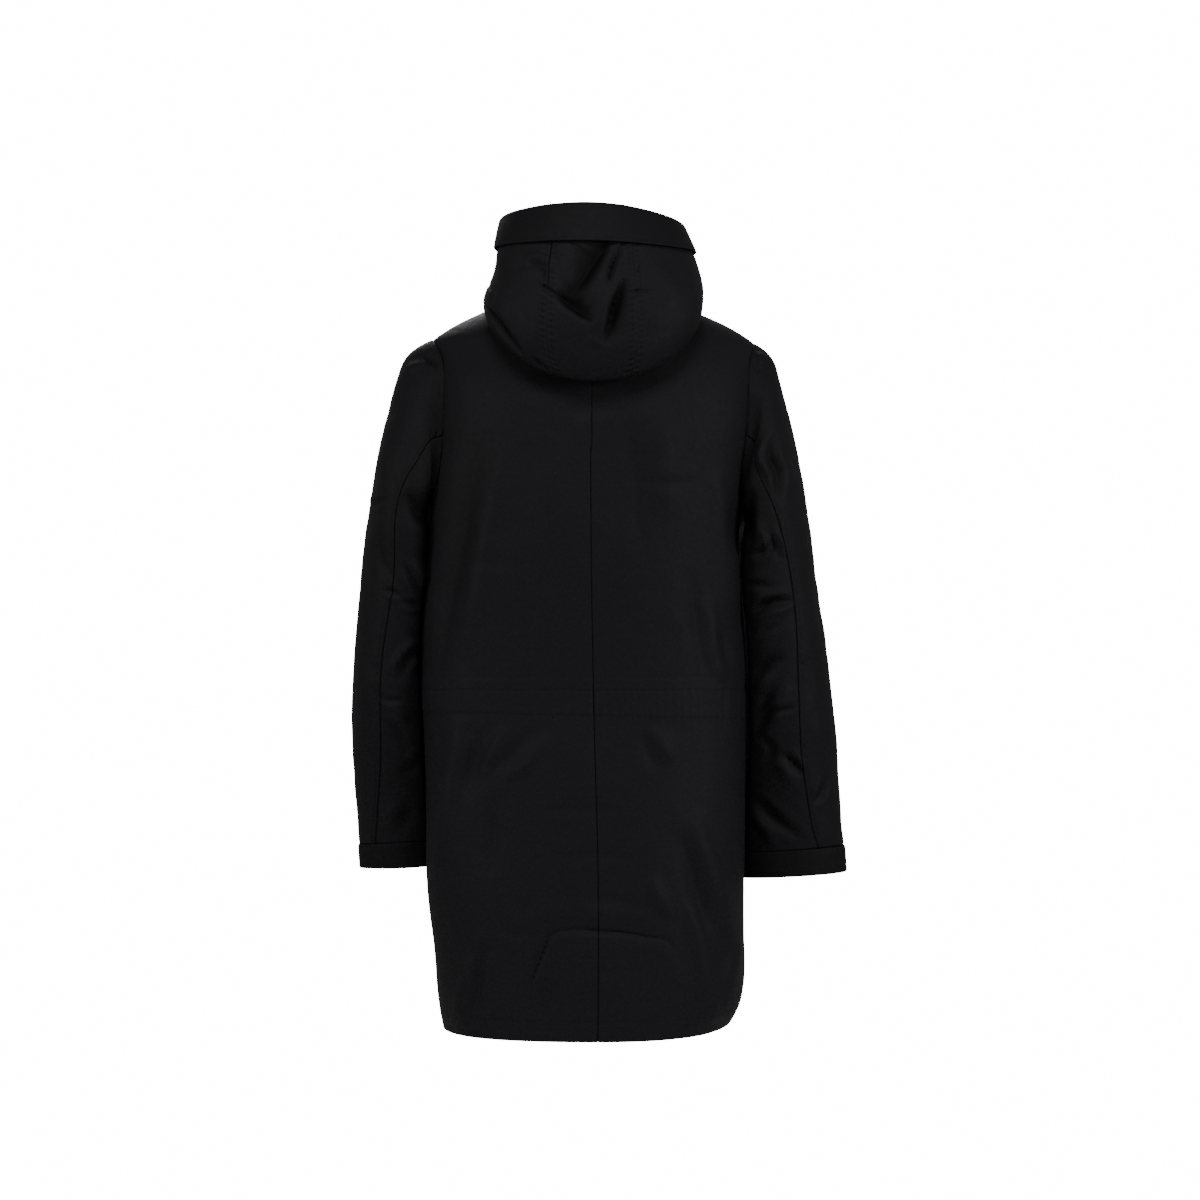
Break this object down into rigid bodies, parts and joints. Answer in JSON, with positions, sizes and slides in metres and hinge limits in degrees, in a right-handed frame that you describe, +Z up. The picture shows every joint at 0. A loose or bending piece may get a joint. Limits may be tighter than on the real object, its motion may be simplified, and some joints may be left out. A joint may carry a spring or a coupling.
{
  "type": "hooded parka coat",
  "caption": "Thigh-length hooded coat held in its worn, hollow shape: standing lowered hood with turned-back band, centre back seam, waist casing, two-piece sleeves and stitched cuffs",
  "frame": {"origin": "centre of the neck at shoulder level, where the wearer's shoulders and neck hold the coat", "axes": "+Z up, along the coat's length; the coat's front faces -Y; +X is the wearer's left"},
  "size_m": [0.654, 0.3136, 1.0624],
  "materials": {
    "coat_cotton": "matte black cotton twill",
    "casing_cotton": "matte black cotton twill, inner strip",
    "sleeve_cotton": "matte black cotton twill",
    "cuff_cotton": "matte black cotton twill, stitched",
    "hood_cotton": "matte black cotton twill",
    "band_cotton": "matte black cotton twill, turned back"
  },
  "bodies": {
    "root": {"back_left": "coat_cotton", "back_right": "coat_cotton", "front_left": "coat_cotton", "front_right": "coat_cotton", "placket": "coat_cotton", "waist_casing": "casing_cotton", "sleeve_left_upper": "sleeve_cotton", "sleeve_left_under": "sleeve_cotton", "sleeve_right_upper": "sleeve_cotton", "sleeve_right_under": "sleeve_cotton", "cuff_left": "cuff_cotton", "cuff_right": "cuff_cotton", "hood_centre": "hood_cotton", "hood_left": "hood_cotton", "hood_right": "hood_cotton", "hood_band": "band_cotton"}
  },
  "joints": []
}
